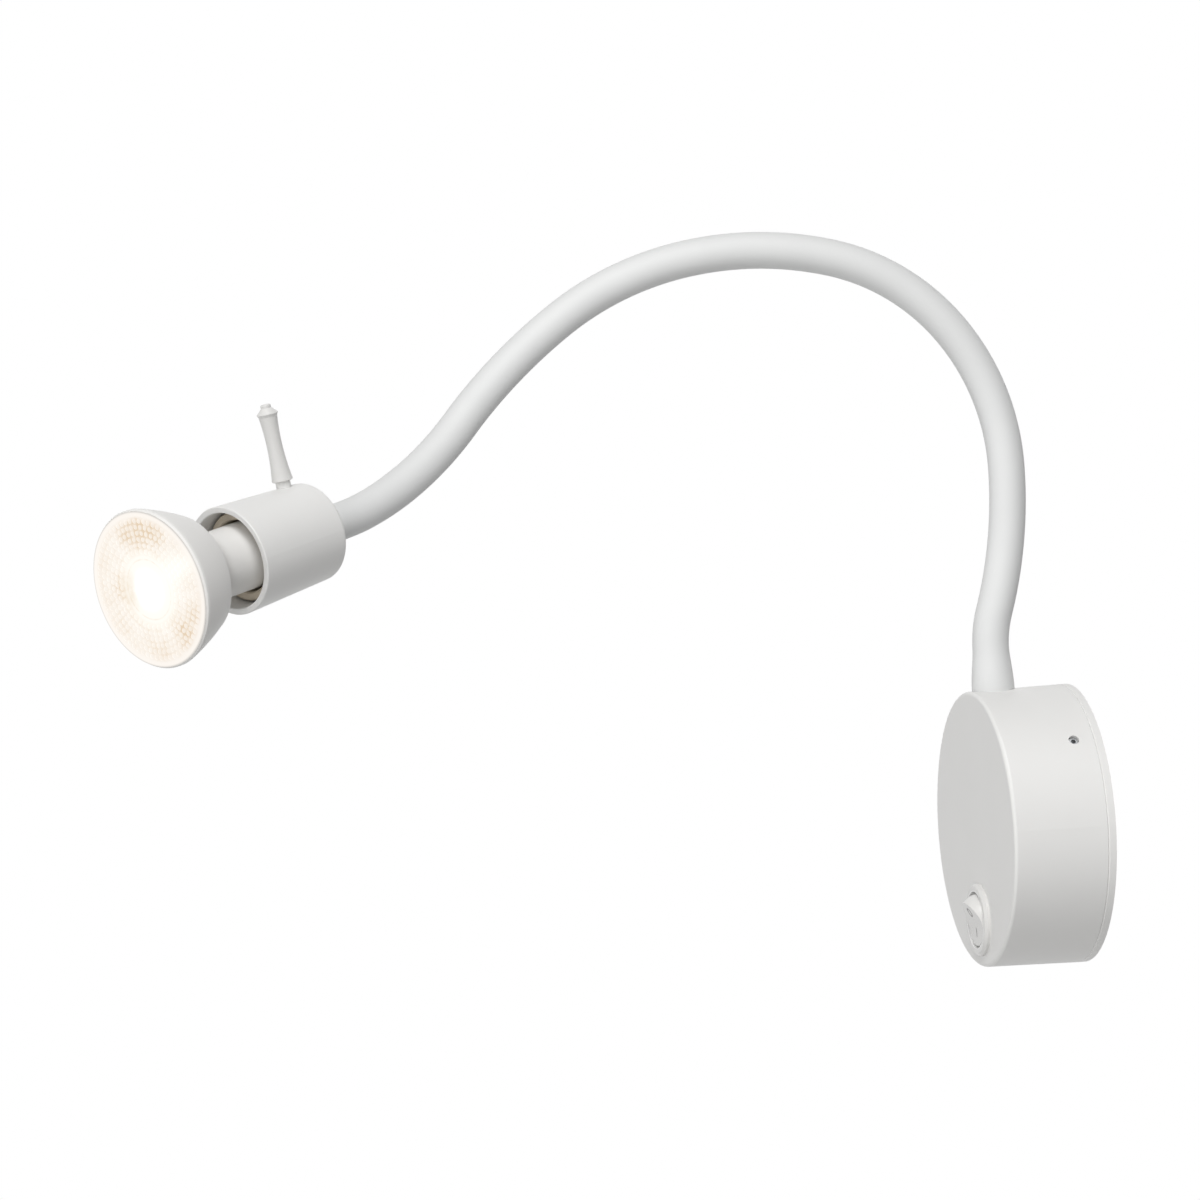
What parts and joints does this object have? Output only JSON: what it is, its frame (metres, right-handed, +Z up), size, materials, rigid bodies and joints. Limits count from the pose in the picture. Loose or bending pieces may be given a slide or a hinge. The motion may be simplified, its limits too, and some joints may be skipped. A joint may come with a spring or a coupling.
{
  "type": "wall reading lamp",
  "caption": "Wall reading lamp with a round rosette, rocker switch, sleeved flexible arm and a small cup that holds a twist-lock reflector lamp and a handle.",
  "frame": {"origin": "centre of the wall plate's back face, midway between the two wall screw slots", "axes": "+Y into the wall, -Y out into the room, +Z up, +X to the right of someone who faces the wall"},
  "size_m": [0.1352, 0.3226, 0.2409],
  "materials": {
    "painted_steel": "satin white powder coat",
    "silicone_sleeve": "matt white silicone",
    "spring_steel": "wound steel",
    "lead_jacket": "white cable jacket",
    "zinc_steel": "bright zinc",
    "nickel_brass": "nickel plated",
    "brass": "plain brass",
    "white_plastic": "white, slightly glossy",
    "lamp_plastic": "white, satin",
    "natural_plastic": "natural",
    "black_rubber": "black",
    "brown_wire": "brown insulation",
    "black_wire": "black insulation",
    "blue_wire": "blue insulation",
    "ceramic": "unglazed steatite",
    "lens": "clear moulded lens, lit warm white",
    "light_board": "white solder mask"
  },
  "bodies": {
    "rosette": {"wall_plate": "painted_steel", "rosette_cover": "painted_steel", "cover_screws": "zinc_steel", "entry_bush": "black_rubber", "terminal_block": "natural_plastic", "terminal_clamps": "brass", "terminal_screws": "brass", "block_screw": "zinc_steel", "earth_screw": "zinc_steel", "live_wire": "brown_wire", "switched_wire": "black_wire", "neutral_wire": "blue_wire", "switch_housing": "white_plastic", "switch_blades": "brass", "foot_ferrule": "nickel_brass", "foot_washer": "zinc_steel", "foot_nut": "zinc_steel", "arm_core_0": "spring_steel", "arm_lead_0": "lead_jacket", "arm_sleeve_0": "silicone_sleeve"},
    "rocker": {"switch_rocker": "white_plastic"},
    "arm_1": {"arm_core_1": "spring_steel", "arm_lead_1": "lead_jacket", "arm_sleeve_1": "silicone_sleeve"},
    "arm_2": {"arm_core_2": "spring_steel", "arm_lead_2": "lead_jacket", "arm_sleeve_2": "silicone_sleeve"},
    "arm_3": {"arm_core_3": "spring_steel", "arm_lead_3": "lead_jacket", "arm_sleeve_3": "silicone_sleeve"},
    "arm_4": {"arm_core_4": "spring_steel", "arm_lead_4": "lead_jacket", "arm_sleeve_4": "silicone_sleeve"},
    "arm_5": {"arm_core_5": "spring_steel", "arm_lead_5": "lead_jacket", "arm_sleeve_5": "silicone_sleeve"},
    "arm_6": {"arm_core_6": "spring_steel", "arm_lead_6": "lead_jacket", "arm_sleeve_6": "silicone_sleeve"},
    "arm_7": {"arm_core_7": "spring_steel", "arm_lead_7": "lead_jacket", "arm_sleeve_7": "silicone_sleeve"},
    "head": {"arm_core_8": "spring_steel", "arm_lead_8": "lead_jacket", "arm_sleeve_8": "silicone_sleeve", "head_ferrule": "nickel_brass", "head_cup": "painted_steel", "head_nut": "zinc_steel", "holder_strap": "zinc_steel", "lampholder": "ceramic", "holder_contacts": "brass", "holder_screws": "zinc_steel", "handle_stud": "painted_steel", "handle_grip": "white_plastic"},
    "lamp": {"lamp_body": "lamp_plastic", "lamp_lens": "lens", "light_board": "light_board", "lamp_pins": "brass"}
  },
  "joints": [
    {"name": "switch_rock", "type": "hinge", "parent": "rosette", "child": "rocker", "pos_m": [0, -0.032, -0.0291], "axis": [1, 0, 0], "range_deg": [-30, 0]},
    {"name": "arm_bend_1", "type": "hinge", "parent": "rosette", "child": "arm_1", "pos_m": [0, -0.02273, 0.06981], "axis": [1, 0, 0], "range_deg": [-8, 20], "deforming": ["arm_sleeve_0", "arm_sleeve_1"]},
    {"name": "arm_sway_2", "type": "hinge", "parent": "arm_1", "child": "arm_2", "pos_m": [0, -0.01574, 0.11657], "axis": [0, 0.9998, 0.0175], "range_deg": [-30, 30], "deforming": ["arm_sleeve_1", "arm_sleeve_2"]},
    {"name": "arm_bend_3", "type": "hinge", "parent": "arm_2", "child": "arm_3", "pos_m": [0, -0.03114, 0.16066], "axis": [1, 0, 0], "range_deg": [-30, 15], "deforming": ["arm_sleeve_2", "arm_sleeve_3"]},
    {"name": "arm_sway_4", "type": "hinge", "parent": "arm_3", "child": "arm_4", "pos_m": [-0.0008, -0.07002, 0.1864], "axis": [-0.0112, 0.2505, 0.9681], "range_deg": [-30, 30], "deforming": ["arm_sleeve_3", "arm_sleeve_4"]},
    {"name": "arm_bend_5", "type": "hinge", "parent": "arm_4", "child": "arm_5", "pos_m": [-0.003, -0.11707, 0.18842], "axis": [0.9978, -0.0632, 0.0204], "range_deg": [-30, 15], "deforming": ["arm_sleeve_4", "arm_sleeve_5"]},
    {"name": "arm_sway_6", "type": "hinge", "parent": "arm_5", "child": "arm_6", "pos_m": [-0.00334, -0.16057, 0.17041], "axis": [-0.0339, -0.58, 0.8139], "range_deg": [-30, 30], "deforming": ["arm_sleeve_5", "arm_sleeve_6"]},
    {"name": "arm_bend_7", "type": "hinge", "parent": "arm_6", "child": "arm_7", "pos_m": [0.00385, -0.19561, 0.13943], "axis": [0.9667, 0.1712, 0.1901], "range_deg": [-30, 20], "deforming": ["arm_sleeve_6", "arm_sleeve_7"]},
    {"name": "arm_sway_8", "type": "hinge", "parent": "arm_7", "child": "head", "pos_m": [0.02109, -0.23106, 0.11368], "axis": [-0.1402, -0.4543, 0.8797], "range_deg": [-30, 30], "deforming": ["arm_sleeve_7", "arm_sleeve_8"]},
    {"name": "lamp_twist", "type": "hinge", "parent": "head", "child": "lamp", "pos_m": [0.03314, -0.25093, 0.10778], "axis": [0.5135, -0.8299, -0.2182], "range_deg": [0, 30]}
  ]
}
